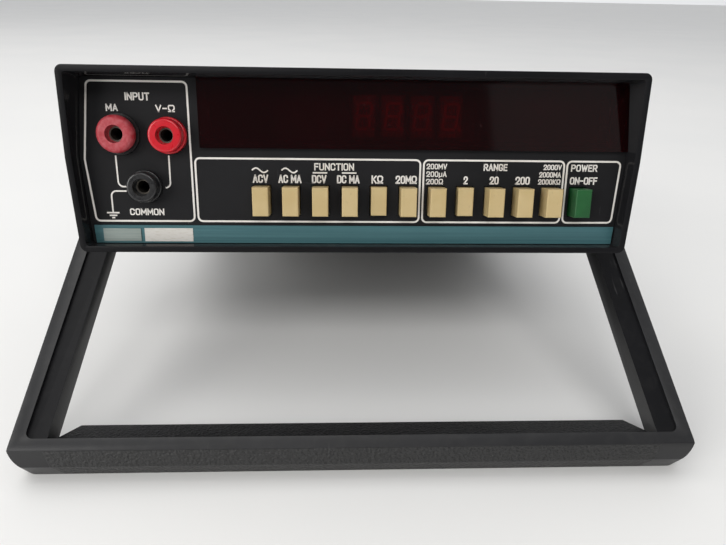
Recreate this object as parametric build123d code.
from build123d import *
import math
import os

# Bench digital multimeter on a bail handle.
# Every sub-part is drawn in the instrument's own frame: X to the right of the front panel,
# Y from the panel's front face to the rear, Z up, with Z = 0 on the crease of the case sides.
# row_frame_location() then tilts the whole set, so that it stands on the handle and the rear feet.

# Case sleeve: a six-sided tube whose front edge is a hood round the panel
CREASE_HALF_WIDTH = 95.25
TOP_HALF_WIDTH = 92.5
BOTTOM_HALF_WIDTH = 93.4
CASE_TOP = 27.9
CASE_BOTTOM = -31.2
CASE_WALL = 2.0
CASE_CORNER_RADIUS = 2.5
HOOD_FRONT = -5.8
VISOR_FRONT = -11.8
CASE_REAR = 240.0
FIT_GAP = 0.15

# Bail handle, measured along its arms (reach) and across them (height) from the pivot
PIVOT_Y = 69.0
PIVOT_Z = 0.0
HANDLE_ANGLE = 42.7
HANDLE_HALF_WIDTH = 108.6
HUB_OUTER = 107.8
HUB_RADIUS = 14.5
ARM_INNER = 95.9
ARM_INNER_AT_BAR = 97.8
ARM_STRAIGHT_REACH = 45.0
ARM_TOP = 7.0
ARM_BOTTOM = -1.0
RECESS_START = 19.0
RECESS_OUTER = 103.1
RECESS_OUTER_AT_BAR = 104.4
RECESS_DEPTH = 1.0
RECESS_CORNER_RADIUS = 2.5
BAR_HALF_HEIGHT = 7.0
BAR_SLOPE_HALF_WIDTH = 94.4
BAR_INNER_TOP = 132.8
BAR_INNER_BOTTOM = 124.1
BAR_OUTER_TOP = 136.6
BAR_NOSE = (140.3, 2.0)
BAR_TOE = (140.6, -5.0)
BAR_CORNER_RADIUS = 5.0

# Handle pivots
PIVOT_SHOULDER_RADIUS = 4.0
RUNNING_GAP = 0.06
PIVOT_PAD_RADIUS = 13.5
NUT_PAD_INNER = 91.0
DETENT_RADIUS = 11.0
DETENT_THICKNESS = 2.3
DETENT_NOTCHES = 16
HUB_RECESS_FLOOR = 98.3
HUB_SHELF = 102.4
HUB_CAP_RADIUS = 8.0

# Rubber feet
FOOT_RADIUS = 6.0
FOOT_HEIGHT = 3.0
FOOT_X = 70.0
FRONT_FOOT_Y = 18.0
REAR_FOOT_Y = 229.0

# Front panel
PANEL_THICKNESS = 2.6
PANEL_INSET = CASE_WALL + FIT_GAP
WINDOW_LEFT = -52.9
WINDOW_BOTTOM = 3.4
WINDOW_RAISE = 1.5
WINDOW_OPENING = (-49.0, 86.0, 6.4, 23.3)
STRIP_TOP = -22.8
STRIP_THICKNESS = 0.5
MAKER_PLATE = (-87.5, -74.8, -28.3, -23.9)
SERIAL_LABEL = (-73.6, -57.1, -28.4, -23.8)

# Push buttons, switches and latch bars
FIRST_BUTTON_X = -32.8
BUTTON_PITCH = 10.0
BUTTON_WIDTH = 5.4
BUTTON_TOP = -9.1
BUTTON_BOTTOM = -18.85
BUTTON_REACH = 6.0
BUTTON_REAR = 5.0
BUTTON_HOLE_GAP = 0.4
LATCHED_DEPTH = 3.2
STEM_HALF_WIDTH = 1.5
STEM_HALF_HEIGHT = 2.0
STEM_REAR = 30.0
STEM_GAP = 0.3
BUTTON_NAMES = [
    "button_ac_volts", "button_ac_milliamps", "button_dc_volts", "button_dc_milliamps",
    "button_kilohms", "button_20_megohms", "button_range_200m", "button_range_2",
    "button_range_20", "button_range_200", "button_range_2000", "button_power",
]
LATCHED_BUTTONS = ("button_kilohms", "button_range_2")
FUNCTION_BUTTONS = 6
RANGE_BUTTONS = 5
FRAME_FRONT = 10.4
FRAME_SHEET = 1.0
HOUSING_FRONT = 11.7
HOUSING_REAR = 36.0
HOUSING_TOP = -8.4
HOUSING_HALF_WIDTH = 4.3
LATCH_BAR_GAP = 0.3
LATCH_BAR_THICKNESS = 0.8

# Input jacks: X, Z of each axis
FUSE_JACK = (-79.2, 7.6)
VOLT_OHM_JACK = (-63.1, 7.3)
COMMON_JACK = (-71.9, -9.5)
BANANA_RADIUS = 2.0
SLEEVE_RADIUS = 2.45
JACK_MOUTH_RADIUS = 2.9
JACK_BODY_RADIUS = 5.0
VOLT_OHM_COLLAR_RADIUS = 5.5
COMMON_COLLAR_RADIUS = 5.0
JACK_FLANGE_LIP = 0.5
JACK_FRONT = -5.4
JACK_REAR = 12.0
SLEEVE_FRONT = -2.8
SLEEVE_REAR = 16.0
BORE_FLOOR = 14.0
FUSE_KNOB_RADIUS = 6.1
FUSE_KNOB_ROUNDING = 1.6
FUSE_SHANK_RADIUS = 5.0
FUSE_SOCKET_RADIUS = 6.0
FUSE_FLANGE_RADIUS = 6.7
FUSE_FLANGE_FRONT = -1.1

# Circuit boards
BOARD_TOP = -21.0
BOARD_THICKNESS = 1.6
BOARD_HALF_WIDTH = 88.0
BOARD_FRONT = 8.0
BOARD_REAR = 220.0
DISPLAY_BOARD_Y = 12.0
DIGIT_PITCH = 10.0
FIRST_DIGIT_X = 2.0
PIN_PITCH = 2.54
TRANSFORMER_X = -50.0
TRANSFORMER_Y = 188.0

# Mains inlet
INLET_X = 52.0
INLET_Z = -1.0
INLET_SOCKET = (25.0, 16.8)
INLET_DEPTH = 15.5
INLET_FACE = 239.4
REAR_PANEL_FRONT = 234.0
REAR_PANEL_THICKNESS = 3.0


def prism_y(points, y_from, y_to):
    """A solid with an X-Z outline, from y_from to y_to."""
    face = make_face(Plane.XZ.offset(-y_from) * Polyline(*points, close=True))
    return extrude(face, amount=y_to - y_from, dir=(0, 1, 0))


def prism_x(points, x_from, x_to):
    """A solid with a Y-Z outline, from x_from to x_to."""
    face = make_face(Plane.YZ.offset(x_from) * Polyline(*points, close=True))
    return extrude(face, amount=x_to - x_from, dir=(1, 0, 0))


def block(x_range, y_range, z_range):
    """A box between two corners."""
    spans = (x_range, y_range, z_range)
    centre = [(low + high) / 2 for low, high in spans]
    return Pos(*centre) * Box(*[high - low for low, high in spans])


def rod_x(radius, y, z, x_from, x_to):
    return Pos((x_from + x_to) / 2, y, z) * Rot(0, 90, 0) * Cylinder(radius, abs(x_to - x_from))


def rod_y(radius, x, z, y_from, y_to):
    return Pos(x, (y_from + y_to) / 2, z) * Rot(90, 0, 0) * Cylinder(radius, abs(y_to - y_from))


def rod_z(radius, x, y, z_from, z_to):
    return Pos(x, y, (z_from + z_to) / 2) * Cylinder(radius, abs(z_to - z_from))


def both_sides(shape):
    """A solid and its mirror image across the instrument's middle, as two solids."""
    return [shape, mirror(shape, about=Plane.YZ)]


def nut_y(across_flats, bore_radius, x, z, y_from, y_to):
    """A hexagonal nut round an axis along Y."""
    hexagon = Plane.XZ.offset(-y_from) * Pos(x, z) * RegularPolygon(across_flats / 2, 6, major_radius=False)
    return extrude(hexagon, amount=y_to - y_from, dir=(0, 1, 0)) - rod_y(bore_radius, x, z, y_from, y_to)


# ---------------------------------------------------------------- case


def half_width_at(z, inset=0.0):
    """Half the case's width at height z, inset from its outer face."""
    if z > 0:
        slope = (CREASE_HALF_WIDTH - TOP_HALF_WIDTH) / CASE_TOP
    else:
        slope = (CREASE_HALF_WIDTH - BOTTOM_HALF_WIDTH) / -CASE_BOTTOM
    return CREASE_HALF_WIDTH - abs(z) * slope - inset


def case_section(inset, corner_radius):
    """The case's six-sided section, inset from its outer face, in the X-Z plane through Y = 0."""
    top = CASE_TOP - inset
    bottom = CASE_BOTTOM + inset
    right = [(half_width_at(z, inset), z) for z in (bottom, 0.0, top)]
    left = [(-x, z) for x, z in reversed(right)]
    outline = make_face(Polyline(*right, *left, close=True))
    corners = [v for v in outline.vertices() if abs(v.Y) > 1.0]
    return Plane.XZ * fillet(corners, corner_radius)


def case_prism(inset, corner_radius, y_from, y_to):
    face = Pos(0, y_from, 0) * case_section(inset, corner_radius)
    return extrude(face, amount=y_to - y_from, dir=(0, 1, 0))


def boss_places():
    """X, Z of the four rear screw bosses."""
    return [(side * 82.0, z) for side in (-1, 1) for z in (22.0, -25.4)]


def foot_places():
    return [(side * FOOT_X, y) for y in (FRONT_FOOT_Y, REAR_FOOT_Y) for side in (-1, 1)]


def board_post_places():
    return [(side * 74.0, y) for y in (60.0, 150.0) for side in (-1, 1)]


def make_case_sleeve():
    """The moulded sleeve: tube, hood, pivot pads, board rails, board posts and rear bosses."""
    sleeve = case_prism(0.0, CASE_CORNER_RADIUS, VISOR_FRONT, CASE_REAR)
    sleeve -= case_prism(CASE_WALL, 1.0, VISOR_FRONT - 1.0, CASE_REAR + 1.0)

    visor_slope = (VISOR_FRONT - HOOD_FRONT) / CASE_TOP
    above = CASE_TOP + 5.0
    front = VISOR_FRONT - 10.0
    in_front_of_hood = [
        (front, CASE_BOTTOM - 5.0),
        (HOOD_FRONT, CASE_BOTTOM - 5.0),
        (HOOD_FRONT, 0.0),
        (HOOD_FRONT + visor_slope * above, above),
        (front, above),
    ]
    sleeve -= prism_x(in_front_of_hood, -100.0, 100.0)

    inner_floor = CASE_BOTTOM + CASE_WALL
    for x, z in boss_places():
        sleeve += rod_y(4.2, x, z, 222.0, REAR_PANEL_FRONT - FIT_GAP)
        sleeve -= rod_y(1.6, x, z, 224.0, REAR_PANEL_FRONT)
    for x, y in board_post_places():
        sleeve += rod_z(3.2, x, y, inner_floor - 0.5, BOARD_TOP - BOARD_THICKNESS)
        sleeve -= rod_z(1.3, x, y, inner_floor + 0.5, BOARD_TOP)
    for side in (-1, 1):
        pad = rod_x(PIVOT_PAD_RADIUS, PIVOT_Y, PIVOT_Z, side * 92.5, side * CREASE_HALF_WIDTH)
        nut_pad = rod_x(7.0, PIVOT_Y, PIVOT_Z, side * NUT_PAD_INNER, side * 94.0)
        hole = rod_x(2.6, PIVOT_Y, PIVOT_Z, side * 80.0, side * 100.0)
        sleeve = sleeve + pad + nut_pad - hole
        for z_from, z_to in ((-24.4, -22.8), (-20.8, -19.4)):
            rail = block(sorted((side * 85.5, side * 92.2)), (14.0, 216.0), (z_from, z_to))
            sleeve += rail
    for x, y in foot_places():
        sleeve -= rod_z(2.1, x, y, CASE_BOTTOM - 1.0, inner_floor + 1.0)
    return sleeve


def make_rubber_feet():
    """Four push-in feet: a pad under the case, a stem through its floor and a barb inside."""
    feet = []
    for x, y in foot_places():
        pad = rod_z(FOOT_RADIUS, x, y, CASE_BOTTOM - FOOT_HEIGHT, CASE_BOTTOM)
        dimple = rod_z(2.2, x, y, CASE_BOTTOM - FOOT_HEIGHT, CASE_BOTTOM - FOOT_HEIGHT + 1.2)
        stem = rod_z(2.0, x, y, CASE_BOTTOM, CASE_BOTTOM + CASE_WALL)
        barb_height = 1.8
        barb = Pos(x, y, CASE_BOTTOM + CASE_WALL + barb_height / 2) * Cone(2.9, 1.4, barb_height)
        feet.append(pad - dimple + stem + barb)
    return Compound(feet)


def make_rear_panel():
    """The rear plate, with the mains inlet's opening and its four screw holes."""
    rear = REAR_PANEL_FRONT + REAR_PANEL_THICKNESS
    panel = case_prism(PANEL_INSET, 1.0, REAR_PANEL_FRONT, rear)
    width, height = INLET_SOCKET
    panel -= block(
        (INLET_X - width / 2 - 2.1, INLET_X + width / 2 + 2.1),
        (REAR_PANEL_FRONT - 1.0, rear + 1.0),
        (INLET_Z - height / 2 - 2.1, INLET_Z + height / 2 + 2.1),
    )
    for x, z in boss_places():
        panel -= rod_y(1.7, x, z, REAR_PANEL_FRONT - 1.0, rear + 1.0)
    return panel


def pan_head_screw_y(x, z, head_y, tip_y, shank_radius, head_radius):
    """A screw along Y with its head's under side at head_y and its tip at tip_y."""
    outwards = 1.0 if head_y > tip_y else -1.0
    head_top = head_y + outwards * 1.9
    head = rod_y(head_radius, x, z, head_y, head_top)
    slot = block(
        (x - 0.4, x + 0.4),
        sorted((head_top, head_top - outwards * 0.8)),
        (z - head_radius, z + head_radius),
    )
    return head - slot + rod_y(shank_radius, x, z, head_y, tip_y)


def make_rear_screws():
    rear = REAR_PANEL_FRONT + REAR_PANEL_THICKNESS
    return Compound([pan_head_screw_y(x, z, rear, 225.0, 1.5, 2.9) for x, z in boss_places()])


# ---------------------------------------------------------------- handle


def arm_direction():
    """Y and Z of the unit vector along the arms, from the pivot to the crossbar."""
    angle = math.radians(HANDLE_ANGLE)
    return -math.cos(angle), -math.sin(angle)


def handle_point(reach, height):
    """Y and Z of a point given along and across the arms."""
    along_y, along_z = arm_direction()
    return (PIVOT_Y + reach * along_y + height * along_z, PIVOT_Z + reach * along_z - height * along_y)


def handle_plane(reach, x, height):
    """The plane of the handle's plan at one point: its x runs along the arms, its z across them."""
    along_y, along_z = arm_direction()
    y, z = handle_point(reach, height)
    return Plane(origin=(x, y, z), x_dir=(0.0, along_y, along_z), z_dir=(0.0, along_z, -along_y))


def handle_plan(points, height_from, height_to):
    """A solid drawn in the handle's plan, as (reach, X) points, between two heights across it."""
    plane = handle_plane(0.0, 0.0, height_from)
    face = make_face(plane * Polyline(*points, close=True))
    return extrude(face, amount=height_to - height_from, dir=plane.z_dir)


def stance_tilt():
    """Degrees that the case leans back: the handle's toe and the rear feet stand on one plane."""
    toe_y, toe_z = handle_point(*BAR_TOE)
    heel_y = REAR_FOOT_Y + FOOT_RADIUS
    heel_z = CASE_BOTTOM - FOOT_HEIGHT
    return math.degrees(math.atan2(heel_z - toe_z, heel_y - toe_y))


def bar_section(inner_bottom):
    """The crossbar's section as (Y, Z) points. Its lowest face lies flat on the floor.

    inner_bottom is the reach at which the section's inner side meets its underside."""
    toe_reach, toe_height = BAR_TOE
    floor_angle = math.radians(HANDLE_ANGLE - stance_tilt())
    sole_reach = toe_reach - (toe_height + BAR_HALF_HEIGHT) / math.tan(floor_angle)
    section = [
        (BAR_INNER_TOP, BAR_HALF_HEIGHT),
        (BAR_OUTER_TOP, BAR_HALF_HEIGHT),
        BAR_NOSE,
        BAR_TOE,
        (sole_reach, -BAR_HALF_HEIGHT),
        (inner_bottom, -BAR_HALF_HEIGHT),
    ]
    return [handle_point(reach, height) for reach, height in section]


def corner_cutter():
    """What the rounded outer corner of the bail takes off, in plan, on the right-hand side."""
    reach = BAR_TOE[0]
    centre = (reach - BAR_CORNER_RADIUS, HANDLE_HALF_WIDTH - BAR_CORNER_RADIUS)
    beyond = 10.0
    square = [
        centre,
        (reach + beyond, centre[1]),
        (reach + beyond, HANDLE_HALF_WIDTH + beyond),
        (centre[0], HANDLE_HALF_WIDTH + beyond),
    ]
    cutter = handle_plan(square, -BAR_HALF_HEIGHT - 2.0, BAR_HALF_HEIGHT + 2.0)
    return cutter - handle_plane(*centre, 0.0) * Cylinder(BAR_CORNER_RADIUS, 3 * BAR_HALF_HEIGHT)


def make_arm_recess():
    """The shallow step along an arm's top face, open on the inner side."""
    beyond = 10.0
    plan = [
        (RECESS_START, ARM_INNER - beyond),
        (RECESS_START, RECESS_OUTER),
        (ARM_STRAIGHT_REACH, RECESS_OUTER),
        (BAR_INNER_TOP, RECESS_OUTER_AT_BAR),
        (BAR_INNER_TOP, ARM_INNER - beyond),
    ]
    recess = handle_plan(plan, ARM_TOP - RECESS_DEPTH, ARM_TOP + 1.0)
    across = Axis((0, 0, 0), handle_plane(0.0, 0.0, 0.0).z_dir)
    outer_corner = recess.edges().filter_by(across).sort_by(Axis.X)[-1]
    return fillet(outer_corner, RECESS_CORNER_RADIUS)


def make_right_arm():
    outline = [
        (0.0, ARM_INNER),
        (ARM_STRAIGHT_REACH, ARM_INNER),
        (BAR_INNER_TOP, ARM_INNER_AT_BAR),
        (BAR_OUTER_TOP, ARM_INNER_AT_BAR),
        (BAR_OUTER_TOP, HANDLE_HALF_WIDTH),
        (ARM_STRAIGHT_REACH, HUB_OUTER),
        (0.0, HUB_OUTER),
    ]
    arm = handle_plan(outline, ARM_BOTTOM, ARM_TOP)
    arm += rod_x(HUB_RADIUS, PIVOT_Y, PIVOT_Z, ARM_INNER, HUB_OUTER)
    arm -= make_arm_recess()
    recess_radius = DETENT_RADIUS + 0.4
    arm -= rod_x(recess_radius, PIVOT_Y, PIVOT_Z, ARM_INNER - 1.0, HUB_RECESS_FLOOR)
    bore_radius = PIVOT_SHOULDER_RADIUS + RUNNING_GAP
    arm -= rod_x(bore_radius, PIVOT_Y, PIVOT_Z, ARM_INNER, HUB_OUTER)
    arm -= rod_x(HUB_CAP_RADIUS, PIVOT_Y, PIVOT_Z, HUB_SHELF, HUB_OUTER + 1.0)
    return arm


def make_crossbar():
    """A full-width nose, and between the arms a slope that runs down its inner side."""
    nose = prism_x(bar_section(BAR_INNER_TOP), -HANDLE_HALF_WIDTH, HANDLE_HALF_WIDTH)
    return nose + prism_x(bar_section(BAR_INNER_BOTTOM), -BAR_SLOPE_HALF_WIDTH, BAR_SLOPE_HALF_WIDTH)


def make_handle():
    """The one-piece moulded bail: two arms with hubs, and the crossbar between them."""
    arm = make_right_arm()
    cutter = corner_cutter()
    bail = make_crossbar() + arm + mirror(arm, about=Plane.YZ)
    return bail - cutter - mirror(cutter, about=Plane.YZ)


def make_hub_caps():
    """Press-in covers over the pivot screws."""
    radius = HUB_CAP_RADIUS - 0.05
    cap = rod_x(radius, PIVOT_Y, PIVOT_Z, 106.0, HUB_OUTER)
    cap -= rod_x(radius - 2.0, PIVOT_Y, PIVOT_Z, HUB_OUTER - 0.5, HUB_OUTER + 1.0)
    return Compound(both_sides(cap))


def make_pivot_screws():
    """Shoulder screws that carry the handle: head, shoulder in the arm, shank through the case."""
    head_radius = 6.2
    screw = rod_x(head_radius, PIVOT_Y, PIVOT_Z, 103.1, 105.3)
    screw += rod_x(PIVOT_SHOULDER_RADIUS, PIVOT_Y, PIVOT_Z, CREASE_HALF_WIDTH, 103.1)
    screw += rod_x(2.5, PIVOT_Y, PIVOT_Z, 85.5, CREASE_HALF_WIDTH)
    screw -= block((104.3, 106.0), (PIVOT_Y - 0.6, PIVOT_Y + 0.6), (-head_radius, head_radius))
    return Compound(both_sides(screw))


def make_pivot_nuts():
    hexagon = Plane.YZ.offset(86.8) * Pos(PIVOT_Y, PIVOT_Z) * RegularPolygon(4.0, 6, major_radius=False)
    nut = extrude(hexagon, amount=NUT_PAD_INNER - 86.8, dir=(1, 0, 0))
    nut -= rod_x(2.55, PIVOT_Y, PIVOT_Z, 80.0, 95.0)
    return Compound(both_sides(nut))


def make_detent_plates():
    """Notched discs fixed to the case inside each hub, which give the handle its click stops."""
    plate_outer = CREASE_HALF_WIDTH + DETENT_THICKNESS
    plate = rod_x(DETENT_RADIUS, PIVOT_Y, PIVOT_Z, CREASE_HALF_WIDTH, plate_outer)
    plate -= rod_x(PIVOT_SHOULDER_RADIUS + 0.02, PIVOT_Y, PIVOT_Z, 90.0, 100.0)
    for index in range(DETENT_NOTCHES):
        angle = 2 * math.pi * index / DETENT_NOTCHES
        y = PIVOT_Y + 8.4 * math.cos(angle)
        z = PIVOT_Z + 8.4 * math.sin(angle)
        plate -= rod_x(1.0, y, z, plate_outer - 1.0, plate_outer + 1.0)
    return Compound(both_sides(plate))


def make_spring_washers():
    washer = rod_x(6.2, PIVOT_Y, PIVOT_Z, HUB_SHELF + 0.1, 103.0)
    washer -= rod_x(PIVOT_SHOULDER_RADIUS + 0.1, PIVOT_Y, PIVOT_Z, 100.0, 105.0)
    return Compound(both_sides(washer))


# ---------------------------------------------------------------- front panel


def button_x(index):
    return FIRST_BUTTON_X + index * BUTTON_PITCH


def display_post_places():
    return [(-36.0, 0.6), (20.0, 0.6), (82.0, 0.6)]


def make_front_panel():
    """The moulded panel: window opening, twelve button holes, three jack holes, display posts."""
    panel = case_prism(PANEL_INSET, 1.0, 0.0, PANEL_THICKNESS)
    left, right, bottom, top = WINDOW_OPENING
    panel -= block((left, right), (-1.0, PANEL_THICKNESS + 1.0), (bottom, top))
    for index in range(len(BUTTON_NAMES)):
        half = BUTTON_WIDTH / 2 + BUTTON_HOLE_GAP
        panel -= block(
            (button_x(index) - half, button_x(index) + half),
            (-1.0, PANEL_THICKNESS + 1.0),
            (BUTTON_BOTTOM - BUTTON_HOLE_GAP, BUTTON_TOP + BUTTON_HOLE_GAP),
        )
    for x, z in (VOLT_OHM_JACK, COMMON_JACK):
        panel -= rod_y(JACK_BODY_RADIUS + 0.1, x, z, -1.0, PANEL_THICKNESS + 1.0)
    panel -= rod_y(FUSE_SOCKET_RADIUS + 0.1, *FUSE_JACK, -1.0, PANEL_THICKNESS + 1.0)
    for x, z in display_post_places():
        panel += rod_y(2.2, x, z, PANEL_THICKNESS - 0.5, DISPLAY_BOARD_Y)
        panel -= rod_y(1.1, x, z, PANEL_THICKNESS + 1.0, DISPLAY_BOARD_Y + 1.0)
    return panel


def make_display_window():
    """The tinted filter: a plate proud of the panel and a boss that fills the panel's opening."""
    corner = block((WINDOW_LEFT, CREASE_HALF_WIDTH), (-WINDOW_RAISE, 0.0), (WINDOW_BOTTOM, CASE_TOP))
    plate = case_prism(PANEL_INSET, 1.0, -WINDOW_RAISE, 0.0) & corner
    left, right, bottom, opening_top = WINDOW_OPENING
    gap = 0.1
    boss = block((left + gap, right - gap), (-0.5, PANEL_THICKNESS), (bottom + gap, opening_top - gap))
    return plate + boss


def make_trim_strip():
    """The coloured band along the panel's lower edge."""
    bottom = CASE_BOTTOM + PANEL_INSET + 0.1
    side = PANEL_INSET + 1.2
    outline = [
        (-half_width_at(bottom, side), bottom),
        (half_width_at(bottom, side - 0.8), bottom),
        (half_width_at(STRIP_TOP, side - 0.8), STRIP_TOP),
        (-half_width_at(STRIP_TOP, side), STRIP_TOP),
    ]
    return prism_y(outline, -STRIP_THICKNESS, 0.0)


def make_label(place, thickness):
    """A blank plate or sticker on the band, from (left, right, bottom, top)."""
    left, right, bottom, top = place
    return block((left, right), (-STRIP_THICKNESS - thickness, -STRIP_THICKNESS), (bottom, top))


# ---------------------------------------------------------------- input jacks


def contact_bore(place, front, rear):
    """The stepped hole for a contact sleeve: a wide mouth before the sleeve, then a close fit."""
    x, z = place
    mouth = rod_y(JACK_MOUTH_RADIUS, x, z, front - 1.0, SLEEVE_FRONT)
    return mouth + rod_y(SLEEVE_RADIUS + 0.05, x, z, SLEEVE_FRONT - 0.5, rear + 1.0)


def make_jack_body(place, collar_radius):
    """A moulded banana jack: flange and collar before the panel, body behind it."""
    x, z = place
    collar = rod_y(collar_radius, x, z, JACK_FRONT, 0.0)
    collar = fillet(collar.edges().sort_by(Axis.Y)[0], 0.8)
    flange = rod_y(collar_radius + JACK_FLANGE_LIP, x, z, -1.8, 0.0)
    flange = fillet(flange.edges().sort_by(Axis.Y)[0], 0.4)
    body = rod_y(JACK_BODY_RADIUS, x, z, -0.5, JACK_REAR)
    return collar + flange + body - contact_bore(place, JACK_FRONT, JACK_REAR)


def make_contact_sleeve(place):
    """The plug's metal socket: a blind tube with a solder tail."""
    x, z = place
    sleeve = rod_y(SLEEVE_RADIUS, x, z, SLEEVE_FRONT, SLEEVE_REAR)
    sleeve += rod_y(1.0, x, z, SLEEVE_REAR - 0.5, SLEEVE_REAR + 6.0)
    return sleeve - rod_y(BANANA_RADIUS, x, z, SLEEVE_FRONT - 1.0, BORE_FLOOR)


def make_jack_nuts():
    gap_radius = JACK_BODY_RADIUS + 0.05
    nuts = [nut_y(13.0, gap_radius, x, z, PANEL_THICKNESS, 6.2) for x, z in (VOLT_OHM_JACK, COMMON_JACK)]
    return Compound(nuts)


def make_fuse_socket():
    """The tube behind the panel that the fused jack turns in."""
    x, z = FUSE_JACK
    socket = rod_y(FUSE_FLANGE_RADIUS, x, z, FUSE_FLANGE_FRONT, 0.0)
    socket += rod_y(FUSE_SOCKET_RADIUS, x, z, -0.5, 44.0)
    socket -= rod_y(FUSE_SHANK_RADIUS + 0.3, x, z, FUSE_FLANGE_FRONT - 1.0, 41.5)
    socket += rod_y(1.0, x, z, 43.0, 48.0)
    return socket


def make_fuse_knob():
    """The fused jack's moulded body, which turns a quarter turn to free its bayonet."""
    x, z = FUSE_JACK
    collar = rod_y(FUSE_KNOB_RADIUS, x, z, JACK_FRONT, FUSE_FLANGE_FRONT - 0.2)
    collar = fillet(collar.edges().filter_by(GeomType.CIRCLE), FUSE_KNOB_ROUNDING)
    shank = rod_y(FUSE_SHANK_RADIUS, x, z, -2.0, 16.0)
    return collar + shank - contact_bore(FUSE_JACK, JACK_FRONT, 16.0)


def make_fuse_link():
    """The cartridge fuse that the fused jack carries: glass tube with end caps."""
    x, z = FUSE_JACK
    glass = rod_y(2.3, x, z, 24.0, 40.0)
    return rod_y(2.6, x, z, 22.2, 27.4) + glass + rod_y(2.6, x, z, 36.0, 41.2)


def make_jack_links():
    """Stiff wires from the jack tails down to the main board."""
    places = [(VOLT_OHM_JACK, 21.0), (COMMON_JACK, 21.0), (FUSE_JACK, 47.0)]
    tail_radius = 1.0
    return Compound([rod_z(0.6, x, y, BOARD_TOP, z - tail_radius) for (x, z), y in places])


# ---------------------------------------------------------------- buttons and switches


def make_button(index):
    """One push button: its cap and the switch stem that it is pressed on."""
    push = LATCHED_DEPTH if BUTTON_NAMES[index] in LATCHED_BUTTONS else 0.0
    x = button_x(index)
    middle = (BUTTON_TOP + BUTTON_BOTTOM) / 2
    half = BUTTON_WIDTH / 2
    cap = block((x - half, x + half), (-BUTTON_REACH, BUTTON_REAR), (BUTTON_BOTTOM, BUTTON_TOP))
    cap = fillet(cap.faces().sort_by(Axis.Y)[0].edges(), 0.35)
    stem = block(
        (x - STEM_HALF_WIDTH, x + STEM_HALF_WIDTH),
        (BUTTON_REAR, STEM_REAR),
        (middle - STEM_HALF_HEIGHT, middle + STEM_HALF_HEIGHT),
    )
    return Pos(0, push, 0) * Compound([cap, stem])


def make_stem_opening(index, y_from, y_to):
    x = button_x(index)
    middle = (BUTTON_TOP + BUTTON_BOTTOM) / 2
    half_width = STEM_HALF_WIDTH + STEM_GAP
    half_height = STEM_HALF_HEIGHT + STEM_GAP
    return block((x - half_width, x + half_width), (y_from, y_to), (middle - half_height, middle + half_height))


def make_switch_housings():
    """One contact housing behind each button."""
    housings = []
    for index in range(len(BUTTON_NAMES)):
        x = button_x(index)
        housing = block(
            (x - HOUSING_HALF_WIDTH, x + HOUSING_HALF_WIDTH),
            (HOUSING_FRONT, HOUSING_REAR),
            (BOARD_TOP, HOUSING_TOP),
        )
        housings.append(housing - make_stem_opening(index, HOUSING_FRONT - 1.0, HOUSING_REAR + 1.0))
    return Compound(housings)


def latch_bar_levels():
    low = HOUSING_TOP + LATCH_BAR_GAP
    return low, low + LATCH_BAR_THICKNESS


def make_switch_frame():
    """The sheet-metal angle that carries the switches and covers the latch bars."""
    margin = HOUSING_HALF_WIDTH + 1.4
    left = button_x(0) - margin
    right = button_x(len(BUTTON_NAMES) - 1) + margin
    cover_low = latch_bar_levels()[1] + LATCH_BAR_GAP
    cover_high = cover_low + FRAME_SHEET
    frame = block((left, right), (FRAME_FRONT, FRAME_FRONT + FRAME_SHEET), (BOARD_TOP, cover_high))
    frame += block((left, right), (FRAME_FRONT, HOUSING_REAR), (cover_low, cover_high))
    for index in range(len(BUTTON_NAMES)):
        frame -= make_stem_opening(index, FRAME_FRONT - 1.0, HOUSING_FRONT - 0.1)
    return frame


def make_latch_bar(first, count):
    """The sliding bar that holds one button of a group in and lets the others go."""
    low, high = latch_bar_levels()
    left = button_x(first) - 3.0
    right = button_x(first + count - 1) + 3.0
    bar = block((left, right), (16.0, 26.0), (low, high))
    for index in range(first, first + count):
        bar -= block((button_x(index) - 1.2, button_x(index) + 1.2), (18.0, 23.0), (low - 1.0, high + 1.0))
    return bar


# ---------------------------------------------------------------- boards and what they carry


def make_main_board():
    board = block(
        (-BOARD_HALF_WIDTH, BOARD_HALF_WIDTH),
        (BOARD_FRONT, BOARD_REAR),
        (BOARD_TOP - BOARD_THICKNESS, BOARD_TOP),
    )
    for x, y in board_post_places():
        board -= rod_z(1.6, x, y, BOARD_TOP - 2.0, BOARD_TOP + 1.0)
    return board


def make_board_screws():
    screws = []
    for x, y in board_post_places():
        head = rod_z(2.8, x, y, BOARD_TOP, BOARD_TOP + 1.8)
        screws.append(head + rod_z(1.25, x, y, BOARD_TOP - 6.5, BOARD_TOP))
    return Compound(screws)


def make_display_board():
    rear = DISPLAY_BOARD_Y + BOARD_THICKNESS
    board = block((-52.0, 87.0), (DISPLAY_BOARD_Y, rear), (-3.0, 24.5))
    for x, z in display_post_places():
        board -= rod_y(1.4, x, z, DISPLAY_BOARD_Y - 1.0, rear + 1.0)
    return board


def make_display_screws():
    head_y = DISPLAY_BOARD_Y + BOARD_THICKNESS
    return Compound([pan_head_screw_y(x, z, head_y, 6.5, 1.05, 2.1) for x, z in display_post_places()])


def make_display_header():
    """The pin row that joins the display board to the main board."""
    pins = []
    for index in range(5):
        x = -51.0 + index * PIN_PITCH
        pins.append(block((x - 0.3, x + 0.3), (DISPLAY_BOARD_Y - 0.7, DISPLAY_BOARD_Y), (BOARD_TOP, 1.0)))
    return Compound(pins)


def make_led_digits():
    """Four seven-segment digit packages on the display board."""
    digits = []
    for index in range(4):
        x = FIRST_DIGIT_X + index * DIGIT_PITCH
        digits.append(block((x - 4.9, x + 4.9), (5.6, DISPLAY_BOARD_Y), (7.6, 21.4)))
    return Compound(digits)


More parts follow.
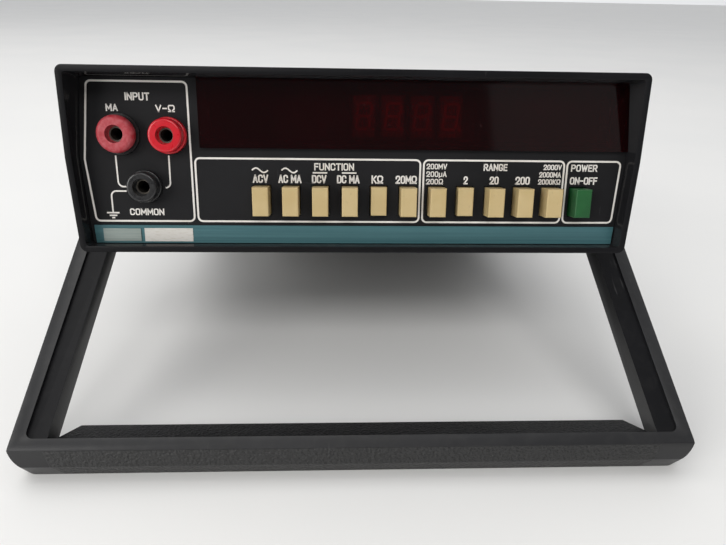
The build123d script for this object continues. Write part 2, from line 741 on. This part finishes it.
def make_input_shield():
    """The tinned can over the input attenuator, open below."""
    shield = block((-84.0, -44.0), (52.0, 104.0), (BOARD_TOP, 0.0))
    shield -= block((-83.4, -44.6), (52.6, 103.4), (BOARD_TOP - 1.0, -0.6))
    screw_x, screw_y = board_post_places()[0]
    return shield - rod_z(4.0, screw_x, screw_y, BOARD_TOP - 1.0, 1.0)


def make_transformer_core():
    """The laminated stack, with the two windows that the winding passes through."""
    bottom = BOARD_TOP
    core = block((-24.0, 24.0), (-9.0, 9.0), (bottom, bottom + 40.0))
    for side in (-1, 1):
        core -= block(sorted((side * 8.0, side * 16.0)), (-10.0, 10.0), (bottom + 8.0, bottom + 32.0))
    return Pos(TRANSFORMER_X, TRANSFORMER_Y, 0) * core


def make_transformer_coil():
    """The bobbin and winding round the core's middle limb."""
    low = BOARD_TOP + 8.2
    high = BOARD_TOP + 31.8
    coil = block((-15.8, 15.8), (-17.0, 17.0), (low, high))
    coil -= block((-8.2, 8.2), (-9.2, 9.2), (low - 1.0, high + 1.0))
    coil = fillet(coil.edges().filter_by(Axis.Z).group_by(lambda edge: abs(edge.center().Y))[-1], 5.0)
    return Pos(TRANSFORMER_X, TRANSFORMER_Y, 0) * coil


def make_filter_capacitors():
    """Two upright electrolytic cans."""
    cans = []
    for x in (-8.0, 12.0):
        can = rod_z(8.0, x, 198.0, BOARD_TOP, BOARD_TOP + 30.0)
        cans.append(fillet(can.edges().sort_by(Axis.Z)[-1], 1.0))
    return Compound(cans)


def make_rectifier():
    return block((-12.0, 8.0), (176.0, 181.0), (BOARD_TOP, BOARD_TOP + 12.0))


def make_heat_sink():
    """A bent aluminium channel that stands on the board."""
    sink = block((30.0, 52.0), (168.0, 186.0), (BOARD_TOP, BOARD_TOP + 26.0))
    return sink - block((28.0, 54.0), (169.6, 184.4), (BOARD_TOP - 1.0, BOARD_TOP + 24.4))


def make_regulator():
    body = block((36.0, 46.0), (165.4, 168.0), (BOARD_TOP + 4.0, BOARD_TOP + 13.0))
    for index in range(3):
        x = 38.46 + index * PIN_PITCH
        body += block((x - 0.4, x + 0.4), (166.4, 167.0), (BOARD_TOP, BOARD_TOP + 5.0))
    return body


def make_logic_chips():
    """Dual in-line packages: the converter's analogue and digital chips and the drivers."""
    places = [(-10.0, 120.0, 32.0, 15.0), (36.0, 120.0, 36.0, 15.0), (-20.0, 80.0, 19.5, 6.6),
              (8.0, 80.0, 19.5, 6.6), (36.0, 80.0, 19.5, 6.6)]
    chips = []
    for x, y, length, width in places:
        chips.append(block(
            (x - length / 2, x + length / 2),
            (y - width / 2, y + width / 2),
            (BOARD_TOP + 0.6, BOARD_TOP + 4.6),
        ))
    return Compound(chips)


def make_precision_resistors():
    """Metal-film resistors of the range divider, lying on the board."""
    radius = 1.7
    resistors = []
    for row in range(2):
        for column in range(6):
            x = -16.0 + column * 14.0
            y = 48.0 + row * 12.0
            body = rod_x(radius, y, BOARD_TOP + radius + 0.3, x - 4.5, x + 4.5)
            resistors.append(body + rod_x(0.35, y, BOARD_TOP + radius + 0.3, x - 6.0, x + 6.0))
    return Compound(resistors)


def make_trimmers():
    """Calibration trimmers in a row by the right-hand edge."""
    trimmers = []
    for index in range(6):
        y = 72.0 + index * 13.0
        base = block((66.0, 75.5), (y - 4.75, y + 4.75), (BOARD_TOP, BOARD_TOP + 4.8))
        screw = rod_z(1.6, 70.75, y, BOARD_TOP + 4.3, BOARD_TOP + 5.6)
        slot = block((69.0, 72.5), (y - 0.3, y + 0.3), (BOARD_TOP + 5.0, BOARD_TOP + 6.0))
        trimmers.append(base + screw - slot)
    return Compound(trimmers)


# ---------------------------------------------------------------- mains inlet


def inlet_outline(margin):
    """The three-pin inlet's socket outline, with its two keyed top corners, grown by margin."""
    width, height = INLET_SOCKET
    half_width = width / 2 + margin
    half_height = height / 2 + margin
    key = 4.2
    return [
        (INLET_X - half_width, INLET_Z - half_height),
        (INLET_X + half_width, INLET_Z - half_height),
        (INLET_X + half_width, INLET_Z + half_height - key),
        (INLET_X + half_width - key, INLET_Z + half_height),
        (INLET_X - half_width + key, INLET_Z + half_height),
        (INLET_X - half_width, INLET_Z + half_height - key),
    ]


def pin_places():
    return [(INLET_X - 7.0, INLET_Z - 1.8), (INLET_X + 7.0, INLET_Z - 1.8), (INLET_X, INLET_Z + 2.2)]


def make_inlet_housing():
    """The appliance inlet: flange outside the rear panel, shell through it, blades' floor."""
    rear = REAR_PANEL_FRONT + REAR_PANEL_THICKNESS
    half_width = INLET_SOCKET[0] / 2 + 3.6
    half_height = INLET_SOCKET[1] / 2 + 3.6
    flange = block(
        (INLET_X - half_width, INLET_X + half_width),
        (rear, INLET_FACE),
        (INLET_Z - half_height, INLET_Z + half_height),
    )
    shell = prism_y(inlet_outline(1.8), 218.0, rear + 0.5)
    housing = flange + shell - prism_y(inlet_outline(0.0), INLET_FACE - INLET_DEPTH, INLET_FACE + 1.0)
    for x, z in pin_places():
        housing -= block((x - 1.05, x + 1.05), (210.0, 230.0), (z - 2.05, z + 2.05))
    return housing


def make_inlet_pins():
    """Line, neutral and earth blades, each with its solder tab inside the case."""
    pins = []
    for x, z in pin_places():
        pins.append(block((x - 1.0, x + 1.0), (212.0, INLET_FACE - 4.0), (z - 2.0, z + 2.0)))
    return Compound(pins)


def make_inlet_links():
    """Stiff wires from the blades' tabs to the main board."""
    wires = []
    for x, z in pin_places():
        wires.append(rod_z(0.8, x, 214.0, BOARD_TOP, z - 2.0))
    return Compound(wires)


# ---------------------------------------------------------------- assembly


def build_sub_parts():
    """Every sub-part by node name, in the instrument's own frame."""
    parts = {
        "case_sleeve": make_case_sleeve(),
        "rubber_feet": make_rubber_feet(),
        "rear_panel": make_rear_panel(),
        "rear_screws": make_rear_screws(),
        "handle": make_handle(),
        "hub_caps": make_hub_caps(),
        "pivot_screws": make_pivot_screws(),
        "pivot_nuts": make_pivot_nuts(),
        "detent_plates": make_detent_plates(),
        "spring_washers": make_spring_washers(),
        "front_panel": make_front_panel(),
        "display_window": make_display_window(),
        "trim_strip": make_trim_strip(),
        "blank_plate": make_label(MAKER_PLATE, 0.3),
        "blank_label": make_label(SERIAL_LABEL, 0.15),
        "volt_ohm_jack": make_jack_body(VOLT_OHM_JACK, VOLT_OHM_COLLAR_RADIUS),
        "volt_ohm_contact": make_contact_sleeve(VOLT_OHM_JACK),
        "common_jack": make_jack_body(COMMON_JACK, COMMON_COLLAR_RADIUS),
        "common_contact": make_contact_sleeve(COMMON_JACK),
        "jack_nuts": make_jack_nuts(),
        "fuse_socket": make_fuse_socket(),
        "fuse_knob": make_fuse_knob(),
        "fuse_contact": make_contact_sleeve(FUSE_JACK),
        "fuse_link": make_fuse_link(),
        "jack_links": make_jack_links(),
        "switch_frame": make_switch_frame(),
        "switch_housings": make_switch_housings(),
        "function_latch_bar": make_latch_bar(0, FUNCTION_BUTTONS),
        "range_latch_bar": make_latch_bar(FUNCTION_BUTTONS, RANGE_BUTTONS),
        "main_board": make_main_board(),
        "board_screws": make_board_screws(),
        "display_board": make_display_board(),
        "display_screws": make_display_screws(),
        "display_header": make_display_header(),
        "led_digits": make_led_digits(),
        "input_shield": make_input_shield(),
        "transformer_core": make_transformer_core(),
        "transformer_coil": make_transformer_coil(),
        "filter_capacitors": make_filter_capacitors(),
        "rectifier": make_rectifier(),
        "heat_sink": make_heat_sink(),
        "regulator": make_regulator(),
        "logic_chips": make_logic_chips(),
        "precision_resistors": make_precision_resistors(),
        "trimmers": make_trimmers(),
        "inlet_housing": make_inlet_housing(),
        "inlet_pins": make_inlet_pins(),
        "inlet_links": make_inlet_links(),
    }
    for index, name in enumerate(BUTTON_NAMES):
        parts[name] = make_button(index)
    return parts


def row_frame_location(parts):
    """Tilts the instrument back and puts the origin under the middle of its bounding box."""
    tilt = Rot(-stance_tilt(), 0, 0)
    bounds = Compound([tilt * part for part in parts.values()]).bounding_box()
    middle_y = (bounds.min.Y + bounds.max.Y) / 2
    return Pos(0, -middle_y, -bounds.min.Z) * tilt


os.makedirs("parts", exist_ok=True)
sub_parts = build_sub_parts()
row_frame = row_frame_location(sub_parts)
for node_name, sub_part in sub_parts.items():
    export_step(row_frame * sub_part, f"parts/{node_name}.step")
